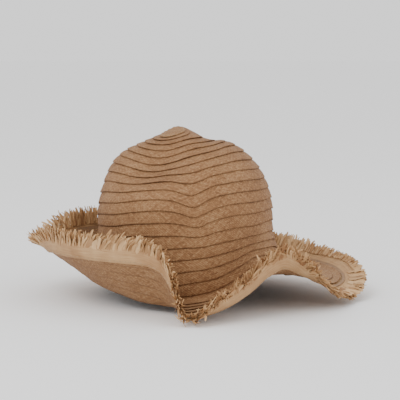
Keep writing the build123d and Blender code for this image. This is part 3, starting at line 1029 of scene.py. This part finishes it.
def fringeLayer(name, seed, baseLift, liftSpread, lengthFactor, curlFactor):
    # the keys' values, each scattered by a bell curve, with slow tufts from two sines
    random = np.random.default_rng(seed)
    azimuth = strandAzimuths(fringe["spacing"], random)
    count = len(azimuth)
    start, length, lean, scatter, curl, width, wave, tone = fringeValues(azimuth)
    even = random.normal(0.0, 1.0, (8, count))
    by = strandScatter
    tuft = np.sin(azimuth * 2.3 + seed) + np.sin(azimuth * 3.9 + seed * 2.0)
    start = edgeReach + start - 1.2 + by["start"] * np.clip(even[0], -2, 2)
    length = length * lengthFactor * (1.0 + by["length"] * np.clip(even[1], -2.4, 1.6))
    length = length * (1.0 + by["tuftLength"] * tuft)
    lift = baseLift + liftSpread * np.clip(even[2], -1, 1) * by["lift"]
    turned = by["lean"] * np.clip(even[3], -2.2, 2.2) + by["tuftLean"] * tuft
    lean = lean + scatter * turned
    curl = -curl * curlFactor * (0.8 + by["curl"] * np.clip(even[4], -2, 2))
    width = width * np.clip(1.0 + by["width"] * even[5], 0.5, 1.8)
    twist = by["twist"] * even[6]
    wave = wave * (0.6 + by["wave"] * np.abs(even[7]))
    thickness = np.full(count, fringe["thickness"])
    phase = random.uniform(0, 1, count)
    return strandPiece(name, (azimuth, start, length, lift, lean, curl,
                              width, thickness, wave, twist, phase, tone))


for layer in fringe["layers"]:
    piece = fringeLayer(*layer)
    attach(piece, "root")
    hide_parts("frayed_edging")
print("fringe made")

# wide torn flaps at the right corner and a few on the curly side:
# direction, start, length, side lean, curl, width, twist
tornFlaps = np.array([
    (326, 8, 17, 2.0, -3.0, 5.0, 0.3),
    (330, 9, 19, -2.0, -1.0, 6.0, -0.2),
    (334, 9, 18, 1.0, 2.0, 7.0, 0.3),
    (338, 9, 17, -1.0, 3.0, 8.0, -0.2),
    (342, 10, 16, 1.0, 1.0, 9.0, 0.2),
    (346, 10, 16, -1.0, 0.5, 9.5, 0.1),
    (350, 11, 15, 1.0, 1.5, 10.0, -0.1),
    (354, 11, 14, 1.0, 2.5, 9.5, 0.2),
    (358, 11, 13, -1.0, 1.0, 9.0, -0.1),
    (2, 11, 12, -2.0, 0.0, 8.0, 0.3),
    (286, 7, 12, 3.0, -5.0, 3.0, 0.9),
    (292, 7, 13, -3.0, -4.0, 3.2, -0.8),
    (302, 7, 13, 3.0, -6.0, 3.6, 0.9),
    (309, 7, 14, -2.0, -5.0, 3.6, -0.6),
    (316, 7, 15, 2.0, -4.0, 4.0, 0.5),
], float)


def tornFlapPiece():
    # strands as wide as flaps, from further inside the header
    azimuth, start, length, lean, curl, width, twist = tornFlaps.T
    count = len(azimuth)
    lift, thickness, wave, tone = [np.full(count, v) for v in (underLift + 0.3, 0.6, 0.5, 0.0)]
    phase = np.random.default_rng(5).uniform(0, 1, count)
    return strandPiece("tornFlaps", (azimuth, edgeReach + start - 3.0, length, lift, lean, curl,
                                     width, thickness, wave, twist, phase, tone))


flaps = tornFlapPiece()
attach(flaps, "root")
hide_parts("frayed_edging")

# stitches

stitching = {
    "length": 3.6,
    "gap": 1.4,
    "radius": 0.28,
    "sink": 0.35,  # how far its ends dip into the cloth
    "narrowing": 0.55,
    "steps": 6,
    "sides": 6,
}


def stitchRow(name, reach, lift, node):
    # short thread loops: each dips into the cloth at both of its ends
    shape = stitching
    coarse = np.linspace(0.0, 360.0, 361)
    length = arcLength(lifted(coarse, reach, lift))
    count = int(length[-1] / (shape["length"] + shape["gap"]))
    t = np.linspace(-0.5, 0.5, shape["steps"] + 1)[None, :]
    middle = (np.arange(count) + 0.5)[:, None] * length[-1] / count
    azimuth = np.interp((middle + t * shape["length"]) % length[-1], length, coarse)
    path = lifted(azimuth, reach, lift - shape["sink"] * (2 * np.abs(t)) ** 3)
    normal = sheetNormal(azimuth, reach)
    side = unit(np.cross(unit(np.gradient(path, axis=1)), normal))[:, :, None]
    normal = normal[:, :, None]
    turn = np.linspace(0.0, 2 * math.pi, shape["sides"], endpoint=False)[:, None]
    slim = shape["radius"] * (1.0 - shape["narrowing"] * (2 * np.abs(t)) ** 4)[..., None, None]
    ring = path[:, :, None] + slim * (side * np.cos(turn) + normal * np.sin(turn))
    rows, sides = t.shape[1], shape["sides"]
    single = stripFaces(rows, sides)
    faces = [[v + n * rows * sides for v in face] for n in range(count) for face in single]
    uv = np.zeros((ring.size // 3, 2))
    piece = makePiece(name, ring, faces, uv, twistedThread)
    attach(piece, "root")
    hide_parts(node)


stitchRow("tipStitches", 11.7, 1.35, "tip_thread")
stitchRow("edgingStitches", edgeReach - 1.7, underLift - 1.1, "edging_thread")
stitchRow("sweatbandStitches", footReach - 6.9, underLift - 1.1, "sweatband_thread")
print("stitches made")

# the CAD reed and its sleeve keep their shape

cadFinishes = {
    "brim_reed": nylonMaterial("strawNylon", (0.30, 0.165, 0.075), 0.55, 0.0),
    "reed_sleeve": nylonMaterial("sleeveNylon", (0.42, 0.27, 0.15), 0.3, 0.3),
}
for node, material in cadFinishes.items():
    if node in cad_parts:
        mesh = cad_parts[node].data
        mesh.materials.clear()
        mesh.materials.append(material)

# floor, light and camera

studio = {
    "floor": (0.97, 0.97, 0.97, 1.0),
    "sky": (1.0, 1.0, 1.0, 1.0),
    "skyStrength": 1.25,
    "lookAt": (13.9, 0.0, 83.5),  # in the hat sheet's millimetres
    "camera": (0.0, -1479.4, 247.6),
    "lens": 136.35,
    "floorHalf": 12.0,  # metres, as are the lights' places
    "lights": [
        # name, place, size, energy
        ("keyLight", (-0.9, -1.3, 1.7), 1.2, 18.0),
        ("fillLight", (1.5, -1.0, 0.9), 1.4, 6.0),
    ],
}


def placed(point):
    # from the hat sheet's millimetres to metres in the CAD model's place
    return Vector((np.array(point) + hatPlace) * 0.001)


def addFloor():
    mesh = bpy.data.meshes.new("paleFloor")
    half = studio["floorHalf"]
    corners = [(-half, -half, 0), (half, -half, 0), (half, half, 0), (-half, half, 0)]
    mesh.from_pydata(corners, [], [(0, 1, 2, 3)])
    floor = bpy.data.objects.new("paleFloor", mesh)
    bpy.context.scene.collection.objects.link(floor)
    material, tree, shader = newMaterial("paleFloor")
    shader.inputs["Base Color"].default_value = studio["floor"]
    shader.inputs["Roughness"].default_value = 0.9
    mesh.materials.append(material)


def addArea(name, place, size, energy):
    light = bpy.data.lights.new(name, "AREA")
    light.size = size
    light.energy = energy
    lamp = bpy.data.objects.new(name, light)
    lamp.location = place
    aim = placed(studio["lookAt"]) - Vector(place)
    lamp.rotation_euler = aim.to_track_quat("-Z", "Y").to_euler()
    bpy.context.scene.collection.objects.link(lamp)


def addCamera():
    data = bpy.data.cameras.new("camera")
    data.lens = studio["lens"]
    data.sensor_width = 36.0
    data.clip_end = 50.0
    camera = bpy.data.objects.new("camera", data)
    camera.location = placed(studio["camera"])
    aim = placed(studio["lookAt"]) - camera.location
    camera.rotation_euler = aim.to_track_quat("-Z", "Y").to_euler()
    bpy.context.scene.collection.objects.link(camera)
    bpy.context.scene.camera = camera


world = bpy.data.worlds.new("studio")
world.use_nodes = True
sky = world.node_tree.nodes["Background"]
sky.inputs[0].default_value = studio["sky"]
sky.inputs[1].default_value = studio["skyStrength"]
bpy.context.scene.world = world
addFloor()
for light in studio["lights"]:
    addArea(*light)
addCamera()
